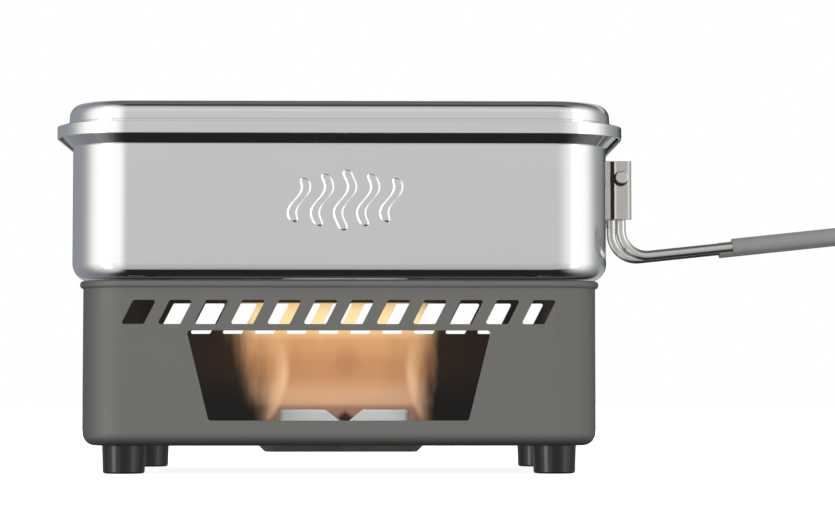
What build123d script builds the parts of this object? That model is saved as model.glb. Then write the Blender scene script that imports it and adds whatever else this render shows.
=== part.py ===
from build123d import *
import os
from math import cos, radians, tan

# Camping cook set: a sheet-metal box stove for solid fuel tablets, a rectangular pot that stands on
# its rim, a lid, and a wire handle that folds over the lid. All sizes are in millimetres.
# Frame: the origin is on the ground, under the middle of the stove's footprint. +X points to the side
# that carries the handle, -Y is the front with the fuel opening, and +Z is up.

# ---- stove body: drawn and punched sheet ----
STOVE_LENGTH = 167.4
STOVE_WIDTH = 120.0
STOVE_CORNER = 14.6
STOVE_SHEET = 1.0
CUT_DEPTH = 3.0
STOVE_BASE = 9.1
STOVE_TOP = 62.5
STOVE_EDGE = 4.25
RIM_OVERHANG = 1.05
RIM_HEIGHT = 2.4
RIM_ROUND = 0.99

# ---- front fuel opening, a trapezoid that is wider at the top ----
OPENING_TOP_LENGTH = 97.9
OPENING_SILL_LENGTH = 83.6
OPENING_SILL = 17.25
OPENING_TOP = 46.2
OPENING_CORNER = 1.0

# ---- row of slanted vents in the front and rear walls ----
VENT_COUNT = 12
VENT_PITCH = 11.71
VENT_LENGTH = 7.35
VENT_LOW = 48.25
FRONT_VENT_HIGH = 56.0
REAR_VENT_HIGH = 59.4
VENT_LEAN = 27.0
VENT_CORNER = 0.6
REAR_VENT_SHIFT = 1.8

# ---- fuel tray: a pressed dish that drops into a cut-out of the base ----
TRAY_MOUTH_LENGTH = 59.0
TRAY_MOUTH_WIDTH = 41.0
TRAY_FLOOR = 6.4
TRAY_SHEET = 0.8
TRAY_TAPER = 45.0
TRAY_CORNER = 8.0
TRAY_EDGE = 1.0
TRAY_FLANGE = 5.0
TRAY_CLEARANCE = 0.6

# ---- solid fuel tablet with a break notch across its middle ----
TABLET_LENGTH = 44.0
TABLET_WIDTH = 30.0
TABLET_HEIGHT = 13.5
TABLET_SHIFT = 1.1
NOTCH_LENGTH = 12.6
NOTCH_DEPTH = 5.2
TABLET_EDGE = 1.0
TABLET_CORNER = 2.0

# ---- rubber feet, riveted through the base ----
FOOT_RADIUS = 7.1
FOOT_TIP_RADIUS = 6.75
FOOT_EDGE = 0.8
FOOT_INSET = 13.6
FOOT_BORE = 1.7
FOOT_RECESS_RADIUS = 3.6
FOOT_RECESS_DEPTH = 3.0
RIVET_RADIUS = 1.65
RIVET_HEAD_RADIUS = 3.2
RIVET_HEAD_HEIGHT = 1.3
RIVET_UPPER_ROUND = 1.0
RIVET_LOWER_ROUND = 0.4
WASHER_RADIUS = 4.5
WASHER_THICKNESS = 0.6

# ---- pot: drawn stainless sheet with a flared, rolled rim ----
POT_LENGTH = 175.0
POT_WIDTH = 127.0
POT_CORNER = 20.0
POT_SHEET = 0.6
POT_BASE = 62.45
POT_EDGE = 6.0
POT_TOP = 112.25
POT_RIM_OVERHANG = 3.4
POT_RIM_HEIGHT = 3.85
POT_RIM_ROUND = 1.6
POT_RIM_EDGE = 0.6
POT_FLARE = 2.2
POT_LIP_ROUND = 1.5

# ---- lid: a shallow dome with a flange and a skirt that hides the pot's rim ----
DOME_LENGTH = 177.3
DOME_WIDTH = 129.3
DOME_CORNER = 21.0
DOME_TOP = 120.3
DOME_EDGE = 4.0
SKIRT_LENGTH = 185.3
SKIRT_WIDTH = 137.3
SKIRT_CORNER = 25.0
SKIRT_TOP = 113.1
SKIRT_BOTTOM = 109.0
LID_SHEET = 0.6
LID_NECK_ROUND = 0.8
SKIRT_SHOULDER = 1.4
SKIRT_CURL = 1.0

# ---- handle bracket: a folded steel channel welded to the pot's right wall ----
BRACKET_LOW = 84.8
BRACKET_HIGH = 104.6
BRACKET_REACH = 98.2
BRACKET_SHEET = 1.0
BRACKET_FLANGE = 9.0
EAR_INNER = 20.4
GROOVE_LOW = 91.1
GROOVE_HIGH = 92.4
GROOVE_DEPTH = 0.6
HEM_LENGTH = 1.0
HEM_INWARD = 0.5
HEM_ROUND = 0.45
STOP_REACH = 93.0
STOP_HEIGHT = 1.2
STOP_LENGTH = 4.6
PLATE_CORNER = 3.0
WELD_SPREAD = 5.5
WELD_RADIUS = 1.7
WELD_DEPTH = 0.3

# ---- handle: one bent wire whose ends turn outward as pivot pins ----
WIRE_RADIUS = 1.65
PIN_X = 94.9
PIN_Z = 98.9
PIN_BORE = 1.72
PIN_END = 23.4
PIN_HEAD_RADIUS = 2.15
PIN_HEAD_HEIGHT = 1.8
PIN_HEAD_ROUND = 0.55
ARM_Y = 17.5
PIN_BEND = 2.6
ELBOW_BEND = 8.75
LOOP_BEND = 14.5
HANDLE_DROP = 26.9
HANDLE_TWIST = 0.75
HANDLE_RISE = 6.0
HANDLE_REACH = 148.0
SLEEVE_START = 132.8
SLEEVE_RADIUS = 2.72
SLEEVE_BORE = 1.7


def rounded_prism(length, width, corner, low, high):
    """An upright block with rounded vertical corners, centred on the Z axis."""
    outline = RectangleRounded(length, width, corner)
    return Pos(0, 0, low) * extrude(outline, amount=high - low)


def level_edges(solid, height):
    """The edges of a solid that lie flat at one height."""
    flat = []
    for edge in solid.edges():
        box = edge.bounding_box()
        if abs(box.min.Z - height) < 1e-4 and abs(box.max.Z - height) < 1e-4:
            flat.append(edge)
    return flat


def level_edges_within(solid, height, length, width):
    """The flat edges at one height that lie inside a rectangle centred on the Z axis."""
    margin = 0.05
    inside = []
    for edge in level_edges(solid, height):
        box = edge.bounding_box()
        reach_x = max(abs(box.min.X), abs(box.max.X))
        reach_y = max(abs(box.min.Y), abs(box.max.Y))
        if reach_x < length / 2 + margin and reach_y < width / 2 + margin:
            inside.append(edge)
    return inside


def pan(length, width, corner, low, high, edge):
    """A block with rounded corners and a rounded bottom edge, as a drawn pan has."""
    solid = rounded_prism(length, width, corner, low, high)
    return fillet(level_edges(solid, low), edge)


def slanted_vent(start, high):
    """A cutter for one vent: a parallelogram that leans over, passing right through a wall."""
    shift = (high - VENT_LOW) * tan(radians(VENT_LEAN))
    corners = [
        (start, VENT_LOW),
        (start + VENT_LENGTH, VENT_LOW),
        (start + VENT_LENGTH + shift, high),
        (start + shift, high),
    ]
    outline = fillet(Polygon(*corners, align=None).vertices(), VENT_CORNER)
    return extrude(Plane.XZ * outline, amount=CUT_DEPTH, both=True)


def vent_row(wall_y, high, shift):
    """All the vents of one wall, up to one height and moved along the wall by a shift."""
    lean = (FRONT_VENT_HIGH - VENT_LOW) / 2 * tan(radians(VENT_LEAN))
    row = (VENT_COUNT - 1) * VENT_PITCH + VENT_LENGTH
    first = shift - row / 2 - lean
    cutters = []
    for number in range(VENT_COUNT):
        cutters.append(Pos(0, wall_y, 0) * slanted_vent(first + number * VENT_PITCH, high))
    return cutters


def fuel_opening():
    """A cutter for the front opening through which the fuel is lit and fed."""
    corners = [
        (-OPENING_SILL_LENGTH / 2, OPENING_SILL),
        (OPENING_SILL_LENGTH / 2, OPENING_SILL),
        (OPENING_TOP_LENGTH / 2, OPENING_TOP),
        (-OPENING_TOP_LENGTH / 2, OPENING_TOP),
    ]
    outline = fillet(Polygon(*corners, align=None).vertices(), OPENING_CORNER)
    cutter = extrude(Plane.XZ * outline, amount=CUT_DEPTH, both=True)
    return Pos(0, -STOVE_WIDTH / 2, 0) * cutter


def foot_places():
    """Names and centres of the four feet."""
    x = STOVE_LENGTH / 2 - FOOT_INSET
    y = STOVE_WIDTH / 2 - FOOT_INSET
    return {
        "front_left": (-x, -y),
        "front_right": (x, -y),
        "rear_left": (-x, y),
        "rear_right": (x, y),
    }


def make_stove_body():
    """The wind-shield box: rolled rim, vents on both long walls, fuel opening and tray cut-out."""
    walls = pan(STOVE_LENGTH, STOVE_WIDTH, STOVE_CORNER, STOVE_BASE, STOVE_TOP, STOVE_EDGE)
    rim_length = STOVE_LENGTH + 2 * RIM_OVERHANG
    rim_width = STOVE_WIDTH + 2 * RIM_OVERHANG
    rim_corner = STOVE_CORNER + RIM_OVERHANG
    rim = rounded_prism(rim_length, rim_width, rim_corner, STOVE_TOP - RIM_HEIGHT, STOVE_TOP)
    rim = fillet(level_edges(rim, STOVE_TOP) + level_edges(rim, STOVE_TOP - RIM_HEIGHT), RIM_ROUND)
    inside = pan(
        STOVE_LENGTH - 2 * STOVE_SHEET,
        STOVE_WIDTH - 2 * STOVE_SHEET,
        STOVE_CORNER - STOVE_SHEET,
        STOVE_BASE + STOVE_SHEET,
        STOVE_TOP + 1,
        STOVE_EDGE - STOVE_SHEET,
    )
    body = walls + rim - inside
    body -= vent_row(-STOVE_WIDTH / 2, FRONT_VENT_HIGH, 0)
    body -= vent_row(STOVE_WIDTH / 2, REAR_VENT_HIGH, REAR_VENT_SHIFT)
    body -= fuel_opening()
    body -= rounded_prism(
        TRAY_MOUTH_LENGTH + 2 * TRAY_CLEARANCE,
        TRAY_MOUTH_WIDTH + 2 * TRAY_CLEARANCE,
        TRAY_CORNER + TRAY_CLEARANCE,
        STOVE_BASE - 1,
        STOVE_BASE + STOVE_SHEET + 1,
    )
    for x, y in foot_places().values():
        body -= Pos(x, y, STOVE_BASE) * Cylinder(FOOT_BORE, CUT_DEPTH)
    return body


def tapered_dish(inset, floor, top):
    """A dish whose walls lean outward, shrunk all round by an inset."""
    depth = top - floor
    spread = depth * tan(radians(TRAY_TAPER))
    length = TRAY_MOUTH_LENGTH - 2 * inset
    width = TRAY_MOUTH_WIDTH - 2 * inset
    mouth = Pos(0, 0, top) * RectangleRounded(length, width, TRAY_CORNER - inset)
    base = Pos(0, 0, floor) * RectangleRounded(
        length - 2 * spread, width - 2 * spread, TRAY_CORNER - inset - spread
    )
    return fillet(level_edges(loft([base, mouth]), floor), TRAY_EDGE)


def make_fuel_tray():
    """A pressed dish with a flat flange that rests on the stove's base."""
    seat = STOVE_BASE + STOVE_SHEET
    flange = rounded_prism(
        TRAY_MOUTH_LENGTH + 2 * TRAY_FLANGE,
        TRAY_MOUTH_WIDTH + 2 * TRAY_FLANGE,
        TRAY_CORNER + TRAY_FLANGE,
        seat,
        seat + TRAY_SHEET,
    )
    outer = tapered_dish(0, TRAY_FLOOR, seat)
    lean = TRAY_SHEET / cos(radians(TRAY_TAPER)) - TRAY_SHEET * tan(radians(TRAY_TAPER))
    inner = tapered_dish(lean, TRAY_FLOOR + TRAY_SHEET, seat + TRAY_SHEET)
    return flange + outer - inner


def make_fuel_tablet():
    """A block of solid fuel with a V-shaped notch, where it breaks in two."""
    low = TRAY_FLOOR + TRAY_SHEET
    high = low + TABLET_HEIGHT
    tablet = rounded_prism(TABLET_LENGTH, TABLET_WIDTH, TABLET_CORNER, low, high)
    tablet = fillet(level_edges(tablet, high), TABLET_EDGE)
    half = NOTCH_LENGTH / 2
    bottom = high - NOTCH_DEPTH
    notch = Polygon((-half, high), (0, bottom), (half, high), (0, high + NOTCH_DEPTH), align=None)
    tablet -= extrude(Plane.XZ * notch, amount=TABLET_WIDTH, both=True)
    return Pos(TABLET_SHIFT, 0, 0) * tablet


def make_foot(x, y):
    """A rubber foot with a bore for its rivet and a recess that hides the rivet's lower head."""
    foot = Pos(0, 0, STOVE_BASE / 2) * Cone(FOOT_TIP_RADIUS, FOOT_RADIUS, STOVE_BASE)
    foot = fillet(level_edges(foot, 0), FOOT_EDGE)
    foot -= Pos(0, 0, STOVE_BASE / 2) * Cylinder(FOOT_BORE, STOVE_BASE)
    foot -= Pos(0, 0, FOOT_RECESS_DEPTH / 2) * Cylinder(FOOT_RECESS_RADIUS, FOOT_RECESS_DEPTH)
    return Pos(x, y, 0) * foot


def make_rivet(x, y):
    """One rivet: a shank between a domed upper head and a flat lower head."""
    top = STOVE_BASE + STOVE_SHEET + WASHER_THICKNESS
    low = FOOT_RECESS_DEPTH
    shank = Pos(0, 0, (low + top) / 2) * Cylinder(RIVET_RADIUS, top - low)
    upper = Pos(0, 0, top + RIVET_HEAD_HEIGHT / 2) * Cylinder(RIVET_HEAD_RADIUS, RIVET_HEAD_HEIGHT)
    upper = fillet(level_edges(upper, top + RIVET_HEAD_HEIGHT), RIVET_UPPER_ROUND)
    lower = Pos(0, 0, low - RIVET_HEAD_HEIGHT / 2) * Cylinder(RIVET_HEAD_RADIUS, RIVET_HEAD_HEIGHT)
    lower = fillet(level_edges(lower, low - RIVET_HEAD_HEIGHT), RIVET_LOWER_ROUND)
    return Pos(x, y, 0) * (shank + upper + lower)


def make_washer(x, y):
    """The washer under one rivet's upper head."""
    middle = STOVE_BASE + STOVE_SHEET + WASHER_THICKNESS / 2
    ring = Cylinder(WASHER_RADIUS, WASHER_THICKNESS) - Cylinder(FOOT_BORE, WASHER_THICKNESS)
    return Pos(x, y, middle) * ring


def make_pot_body():
    """The pot: flat walls, a rounded bottom edge and a rim that flares out and rolls over."""
    outer = pan(POT_LENGTH, POT_WIDTH, POT_CORNER, POT_BASE, POT_TOP, POT_EDGE)
    rim_low = POT_TOP - POT_RIM_HEIGHT
    rim = rounded_prism(
        POT_LENGTH + 2 * POT_RIM_OVERHANG,
        POT_WIDTH + 2 * POT_RIM_OVERHANG,
        POT_CORNER + POT_RIM_OVERHANG,
        rim_low,
        POT_TOP,
    )
    rim = fillet(level_edges(rim, POT_TOP), POT_RIM_ROUND)
    rim = fillet(level_edges(rim, rim_low), POT_RIM_EDGE)
    body = outer + rim
    body = chamfer(level_edges_within(body, rim_low, POT_LENGTH, POT_WIDTH), POT_FLARE)
    inside = pan(
        POT_LENGTH - 2 * POT_SHEET,
        POT_WIDTH - 2 * POT_SHEET,
        POT_CORNER - POT_SHEET,
        POT_BASE + POT_SHEET,
        POT_TOP + 1,
        POT_EDGE - POT_SHEET,
    )
    body -= inside
    return fillet(level_edges_within(body, POT_TOP, POT_LENGTH, POT_WIDTH), POT_LIP_ROUND)


def make_lid():
    """The lid: dome, flange and skirt from one sheet, the skirt's lower edge curled inward."""
    dome = rounded_prism(DOME_LENGTH, DOME_WIDTH, DOME_CORNER, SKIRT_BOTTOM, DOME_TOP)
    dome = fillet(level_edges(dome, DOME_TOP), DOME_EDGE)
    skirt = rounded_prism(SKIRT_LENGTH, SKIRT_WIDTH, SKIRT_CORNER, SKIRT_BOTTOM, SKIRT_TOP)
    skirt = fillet(level_edges(skirt, SKIRT_TOP), SKIRT_SHOULDER)
    skirt = fillet(level_edges(skirt, SKIRT_BOTTOM), SKIRT_CURL)
    body = dome + skirt
    body = fillet(level_edges_within(body, SKIRT_TOP, DOME_LENGTH, DOME_WIDTH), LID_NECK_ROUND)
    dome_inside = rounded_prism(
        DOME_LENGTH - 2 * LID_SHEET,
        DOME_WIDTH - 2 * LID_SHEET,
        DOME_CORNER - LID_SHEET,
        SKIRT_BOTTOM - 1,
        DOME_TOP - LID_SHEET,
    )
    dome_inside = fillet(level_edges(dome_inside, DOME_TOP - LID_SHEET), DOME_EDGE - LID_SHEET)
    skirt_inside = pan(
        SKIRT_LENGTH - 2 * LID_SHEET,
        SKIRT_WIDTH - 2 * LID_SHEET,
        SKIRT_CORNER - LID_SHEET,
        SKIRT_BOTTOM + LID_SHEET,
        SKIRT_TOP - LID_SHEET,
        SKIRT_CURL - LID_SHEET,
    )
    skirt_inside = fillet(level_edges(skirt_inside, SKIRT_TOP - LID_SHEET), SKIRT_SHOULDER - LID_SHEET)
    mouth = rounded_prism(
        SKIRT_LENGTH - 2 * SKIRT_CURL,
        SKIRT_WIDTH - 2 * SKIRT_CURL,
        SKIRT_CORNER - SKIRT_CURL,
        SKIRT_BOTTOM - 1,
        SKIRT_BOTTOM + 2 * LID_SHEET,
    )
    return body - dome_inside - skirt_inside - mouth


def block(x0, y0, z0, x1, y1, z1):
    """A box given by two opposite corners."""
    middle = Pos((x0 + x1) / 2, (y0 + y1) / 2, (z0 + z1) / 2)
    return middle * Box(abs(x1 - x0), abs(y1 - y0), abs(z1 - z0))


def make_ear(side):
    """One ear of the bracket, with its pivot hole, hemmed outer edge, groove and stop tab."""
    low = BRACKET_LOW
    high = BRACKET_HIGH
    wall = POT_LENGTH / 2
    outer = EAR_INNER + BRACKET_SHEET
    ear = block(wall, side * EAR_INNER, low, BRACKET_REACH, side * outer, high)
    hem_start = BRACKET_REACH - HEM_LENGTH
    hem_inner = EAR_INNER - HEM_INWARD
    ear += block(hem_start, side * hem_inner, low, BRACKET_REACH, side * outer, high)
    tip = [e for e in ear.edges().filter_by(Axis.Z) if abs(e.center().X - BRACKET_REACH) < 1e-4]
    ear = fillet(tip, HEM_ROUND)
    groove_floor = side * (outer - GROOVE_DEPTH)
    ear -= block(GROOVE_LOW, groove_floor, low - 1, GROOVE_HIGH, side * (outer + 1), high + 1)
    stop_inner = EAR_INNER - STOP_LENGTH
    stop_top = low + STOP_HEIGHT
    ear += block(wall, side * stop_inner, low, STOP_REACH, side * EAR_INNER, stop_top)
    middle = side * (EAR_INNER + BRACKET_SHEET / 2)
    return ear - Pos(PIN_X, middle, PIN_Z) * Rot(90, 0, 0) * Cylinder(PIN_BORE, CUT_DEPTH)


def make_handle_bracket():
    """The bracket: a back plate with weld dimples and two ears that hold the wire's ends."""
    wall = POT_LENGTH / 2
    half = EAR_INNER + BRACKET_SHEET + BRACKET_FLANGE
    middle = (BRACKET_LOW + BRACKET_HIGH) / 2
    plate = block(wall, -half, BRACKET_LOW, wall + BRACKET_SHEET, half, BRACKET_HIGH)
    plate = fillet(plate.edges().filter_by(Axis.X), PLATE_CORNER)
    for side in (-1, 1):
        plate += make_ear(side)
        for height in (-WELD_SPREAD, WELD_SPREAD):
            place = Pos(wall + BRACKET_SHEET, side * (half - BRACKET_FLANGE / 2), middle + height)
            plate -= place * Rot(0, 90, 0) * Cylinder(WELD_RADIUS, 2 * WELD_DEPTH)
    return plate


def handle_point(x, side):
    """A point on the centreline of the long outward run. The sprung loop's rear arm sits higher."""
    rise = tan(radians(HANDLE_RISE))
    start = PIN_Z - HANDLE_DROP / cos(radians(HANDLE_RISE))
    lift = HANDLE_TWIST * (1 + side) / 2
    return (x, side * ARM_Y, start + lift + (x - PIN_X) * rise)


def make_handle_wire():
    """The wire: two pivot ends, two arms that turn outward below them, and a closed loop."""
    end = PIN_X + HANDLE_REACH
    corners = []
    for side, order in ((-1, 1), (1, -1)):
        run = [
            (PIN_X, side * PIN_END, PIN_Z),
            (PIN_X, side * ARM_Y, PIN_Z),
            handle_point(PIN_X, side),
            handle_point(end, side),
        ]
        corners += run[::order]
    bends = [PIN_BEND, ELBOW_BEND, LOOP_BEND, LOOP_BEND, ELBOW_BEND, PIN_BEND]
    path = FilletPolyline(*corners, radius=bends)
    section = Plane(origin=corners[0], z_dir=(0, 1, 0)) * Circle(WIRE_RADIUS)
    wire = sweep(section, path=path)
    for side in (-1, 1):
        wire += make_pin_head(side)
    return wire


def make_pin_head(side):
    """The upset head on one end of the wire, which keeps it in its ear."""
    head = Pos(0, 0, PIN_HEAD_HEIGHT / 2) * Cylinder(PIN_HEAD_RADIUS, PIN_HEAD_HEIGHT)
    head = fillet(level_edges(head, PIN_HEAD_HEIGHT), PIN_HEAD_ROUND)
    foot = side * (PIN_END - PIN_HEAD_HEIGHT)
    return Pos(PIN_X, foot, PIN_Z) * Rot(-90 * side, 0, 0) * head


def make_handle_sleeve():
    """The silicone sleeve, pulled over the loop as one soft tube."""
    end = PIN_X + HANDLE_REACH
    corners = [
        handle_point(SLEEVE_START, -1),
        handle_point(end, -1),
        handle_point(end, 1),
        handle_point(SLEEVE_START, 1),
    ]
    path = FilletPolyline(*corners, radius=LOOP_BEND)
    along = Vector(*corners[1]) - Vector(*corners[0])
    start = Plane(origin=corners[0], z_dir=along)
    tube = sweep(start * Circle(SLEEVE_RADIUS), path=path)
    bore = sweep(start * Circle(SLEEVE_BORE), path=path)
    return tube - bore


def write(name, shape):
    """Writes one node's file."""
    shape.label = name
    export_step(shape, os.path.join("parts", name + ".step"))


os.makedirs("parts", exist_ok=True)
write("stove_body", make_stove_body())
write("fuel_tray", make_fuel_tray())
write("fuel_tablet", make_fuel_tablet())
for place, (foot_x, foot_y) in foot_places().items():
    write("foot_" + place, make_foot(foot_x, foot_y))
write("foot_rivets", Compound(children=[make_rivet(x, y) for x, y in foot_places().values()]))
write("foot_washers", Compound(children=[make_washer(x, y) for x, y in foot_places().values()]))
write("pot_body", make_pot_body())
write("handle_bracket", make_handle_bracket())
write("handle_wire", make_handle_wire())
write("handle_sleeve", make_handle_sleeve())
write("lid", make_lid())
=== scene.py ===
from math import cos, pi, radians, sin, tan

import bmesh
import bpy
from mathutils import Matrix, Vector


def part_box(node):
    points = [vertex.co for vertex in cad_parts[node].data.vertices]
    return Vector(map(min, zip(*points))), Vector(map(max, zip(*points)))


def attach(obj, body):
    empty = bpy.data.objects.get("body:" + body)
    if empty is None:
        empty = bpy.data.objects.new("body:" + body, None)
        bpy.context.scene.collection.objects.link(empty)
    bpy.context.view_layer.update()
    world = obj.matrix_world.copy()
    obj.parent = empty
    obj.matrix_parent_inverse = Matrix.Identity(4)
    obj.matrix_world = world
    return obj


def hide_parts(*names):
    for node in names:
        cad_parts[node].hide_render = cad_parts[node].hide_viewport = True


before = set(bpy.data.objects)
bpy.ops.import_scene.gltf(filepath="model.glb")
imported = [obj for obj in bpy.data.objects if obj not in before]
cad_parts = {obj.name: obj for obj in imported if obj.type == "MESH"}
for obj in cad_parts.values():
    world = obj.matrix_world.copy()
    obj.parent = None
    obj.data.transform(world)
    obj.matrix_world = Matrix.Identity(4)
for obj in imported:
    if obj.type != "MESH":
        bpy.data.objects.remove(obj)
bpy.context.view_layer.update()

MM = 0.001
WHITE = (1.0, 1.0, 1.0)

# ---- the camera: degrees of tilt up and of turn, and metres from the stove's front wall ----
CAMERA_SENSOR = 36.0
CAMERA_LENS = 110.6
CAMERA_NEAREST = 0.01
CAMERA_SIDE = 12.6 * MM
CAMERA_REACH = 0.825
CAMERA_HEIGHT = 23.2 * MM
CAMERA_TILT = 3.236
CAMERA_TURN = -0.88

# ---- the room: stops of (place, brightness) ----
# Round the room in degrees: 0 is towards the camera, 90 overhead, 180 behind and -90 below.
ROOM_ROUND = (
    (-180, 0.03),
    (-172, 0.45),
    (-158, 0.48),
    (-149, 0.02),
    (-132, 0.02),
    (-124, 0.08),
    (-111, 0.07),
    (-104, 0.02),
    (-56, 0.015),
    (-49, 0.46),
    (-20, 0.56),
    (5, 0.62),
    (16, 0.75),
    (40, 0.66),
    (56, 0.48),
    (66, 0.03),
    (76, 0.03),
    (86, 0.15),
    (112, 0.15),
    (130, 0.10),
    (141, 0.12),
    (146, 0.64),
    (156, 0.66),
    (161, 0.03),
)
# Up the side walls, from straight down to straight up.
ROOM_SIDES = (
    (-1.0, 0.02),
    (-0.96, 0.1),
    (-0.85, 0.6),
    (-0.5, 0.95),
    (-0.1, 1.15),
    (0.5, 1.15),
    (0.8, 0.9),
    (0.93, 0.35),
    (1.0, 0.15),
)
# Back along the side walls, from the camera's end to the far end.
ROOM_FADE = (
    (-0.4, 1.0),
    (-0.26, 0.92),
    (-0.10, 0.70),
    (0.05, 0.485),
    (0.21, 0.35),
    (0.39, 0.29),
    (0.9, 0.26),
)
# On the right the fade starts further back: (start, end) across the room, and how much.
ROOM_FADE_TURN = (-0.3, 0.3)
ROOM_FADE_SHIFT = 0.13
# Where the side walls begin and end, across the room.
ROOM_LEFT = (-0.10, -0.42)
ROOM_RIGHT = (0.28, 0.92)
# Two soft boxes beside the camera: (degrees to the right, strength).
SOFT_BOXES = ((-50, 3.0), (58, 0.8))
SOFT_BOX_EDGE = (radians(12), radians(5))
SOFT_BOX_TOP = (0.75, 0.35)
# The back corners' faint tints, and where they begin and end.
TINT_BACK = (0.1, 0.4)
TINT_SIDE = (0.1, 0.3)
TINT_TURN = (-0.2, 0.2)
BACK_LEFT_TINT = (0.95, 1.0, 1.12)
BACK_RIGHT_TINT = (0.96, 1.02, 0.99)
FLOOR_REACH = 20.0
FLOOR_WHITE = (0.9, 0.9, 0.9)
FLOOR_GLOW = 0.85

# ---- the lamps' colours ----
FLAME = (1.0, 0.56, 0.30)
FLAME_TIP = (1.0, 0.78, 0.48)

# ---- the pot's sheet, measured from its straight wall ----
POT_RIM_OVERHANG = 3.4 * MM
POT_RIM_ROUND = 1.6 * MM
POT_CORNER = 20.0 * MM
POT_SHEET = 0.6 * MM
POT_EDGE = 6.0 * MM
POT_FLARE = 45.0
POT_FLARE_START = 106.2 * MM
POT_FLARE_BEND = 1.2 * MM
POT_RIM_BEND = 0.8 * MM
POT_LIP_ROUND = 1.5 * MM

# ---- the bracket's ears ----
GROOVE_MIDDLE = 91.75 * MM
GROOVE_HALF = 0.65 * MM
EAR_FACE = 21.4 * MM
EAR_END = 98.2 * MM
PIN_X = 94.9 * MM
PIN_Z = 98.9 * MM
# The painted shadow round the pin: its radius and its shift to the lower left.
PIN_SHADOW = 2.7 * MM
PIN_SHADOW_SHIFT = 0.35 * MM

# ---- the stove's coated sheet ----
STOVE_RIM_OVERHANG = 1.05 * MM
STOVE_CORNER = 14.6 * MM
STOVE_EDGE = 4.25 * MM

# ---- heat tint and painted flame light on the chamber's rear wall; a pair says where a mark begins and is full ----
HEAT_GLOW_SHIFT = 4 * MM
HEAT_GLOW_WARP = 14 * MM
HEAT_GLOW_LEFT = 21.4 * MM
HEAT_GLOW_LEFT_SLOPE = 0.272
HEAT_GLOW_LEFT_EDGE = (-6 * MM, 9 * MM)
HEAT_GLOW_RIGHT = 33.5 * MM
HEAT_GLOW_RIGHT_SLOPE = 0.03
HEAT_GLOW_RIGHT_EDGE = (-4 * MM, 5.5 * MM)
HEAT_GLOW_TOP_EDGE = (59.9 * MM, 59.3 * MM)
# The painted shadow on the rear wall behind the tablet's notch.
NOTCH_X = 0.5 * MM
NOTCH_Z = 16.2 * MM
NOTCH_STEEPNESS = 1.4
NOTCH_EDGE = (7 * MM, 3 * MM)
# Bright tongues of painted flame light: (middle x, middle z, bow in 1/m, outer side).
TONGUES = (
    (-21.4 * MM, 35.0 * MM, -20.0, -1),
    (24.0 * MM, 36.0 * MM, 14.0, 1),
)
TONGUE_INNER_EDGE = (-2.2 * MM, 0.4 * MM)
TONGUE_OUTER_EDGE = (5.5 * MM, 0.2 * MM)
TONGUE_RISE = (48 * MM, 30 * MM)
# The darker cloud in the middle of the painted flame light, and the dim band across it.
SWIRL_X = 1 * MM
SWIRL_Z = 37 * MM
SWIRL_WARP = 16 * MM
SWIRL_FLATNESS = 1.3
SWIRL_EDGE = (15 * MM, 3 * MM)
DIM_Z = 35 * MM
DIM_EDGE = (9 * MM, 2 * MM)
# The heights of the tints, of the painted shade just above the tablet and of the darkening towards the
# bottom.
LOW_TINT_EDGE = (36 * MM, 24 * MM)
TOP_TINT_EDGE = (45 * MM, 52 * MM)
ABOVE_TABLET_SHADE_EDGE = (23.5 * MM, 20.5 * MM)
LOW_DARK_EDGE = (40 * MM, 22 * MM)
# How far under the outer surface the enamel ends.
ENAMEL_EDGE = (-0.7 * MM, -0.9 * MM)

# ---- the lid's sheet, measured from the dome's wall ----
LID_FLANGE = 4.0 * MM
LID_CORNER = 21.0 * MM
LID_SHEET = 0.6 * MM
LID_EDGE = 4.0 * MM
LID_NECK = 0.1 * MM
LID_NECK_HEIGHT = 6.1 * MM
LID_DRAFT = 0.1 * MM
LID_SHOULDER = 0.1 * MM
LID_INNER_SHOULDER = 0.15 * MM
LID_FLANGE_SLOPE = 17.0

# ---- the embossed motif on the pot's front: a row of wavy heat ribs ----
MOTIF_X = 2.0 * MM
MOTIF_Z = 88.0 * MM
MOTIF_RIBS = 5
MOTIF_PITCH = 7.4 * MM
MOTIF_HALF_WIDTH = 1.35 * MM
MOTIF_HALF_HEIGHT = 9.6 * MM
MOTIF_TAPER = 0.28
MOTIF_WAVE = 1.5 * MM
MOTIF_WAVE_LENGTH = 14.0 * MM
MOTIF_LEAN = 0.2
MOTIF_RELIEF = 0.7 * MM
MOTIF_EDGE = 0.5 * MM
MOTIF_STEP = 0.2 * MM

# ---- the shells' meshes ----
CORNER_STEPS = 24
SLOPE_STEP = 0.05 * MM
UPRIGHT = 0.99

# Softened copies: (CAD node, copy's name, rounding of the edges, body, finish).
SOFT_COPIES = (
    ("handle_bracket", "handle_bracket_soft", 0.14 * MM, "pot", "bracket_steel"),
    ("fuel_tablet", "fuel_tablet_soft", 0.35 * MM, "tablet", "fuel"),
    ("stove_body", "stove_body_soft", 0.09 * MM, "stove", "stove_coating"),
)
# In them, points this close are merged, flatter folds are joined and sharper edges are rounded.
WELD_GAP = 0.001 * MM
FLAT_ANGLE = 0.006
SHARP_ANGLE = radians(25)

NODE_FINISHES = {
    "fuel_tray": "tray_metal",
    "handle_wire": "wire_steel",
    "handle_sleeve": "sleeve_silicone",
    "foot_front_left": "foot_rubber",
    "foot_front_right": "foot_rubber",
    "foot_rear_left": "foot_rubber",
    "foot_rear_right": "foot_rubber",
    "foot_rivets": "fastener_steel",
    "foot_washers": "fastener_steel",
}

# The Mix node's sockets: factor, first and second, for numbers and for colours.
NUMBER_SOCKETS = (0, 2, 3)
COLOUR_SOCKETS = (0, 6, 7)


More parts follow.
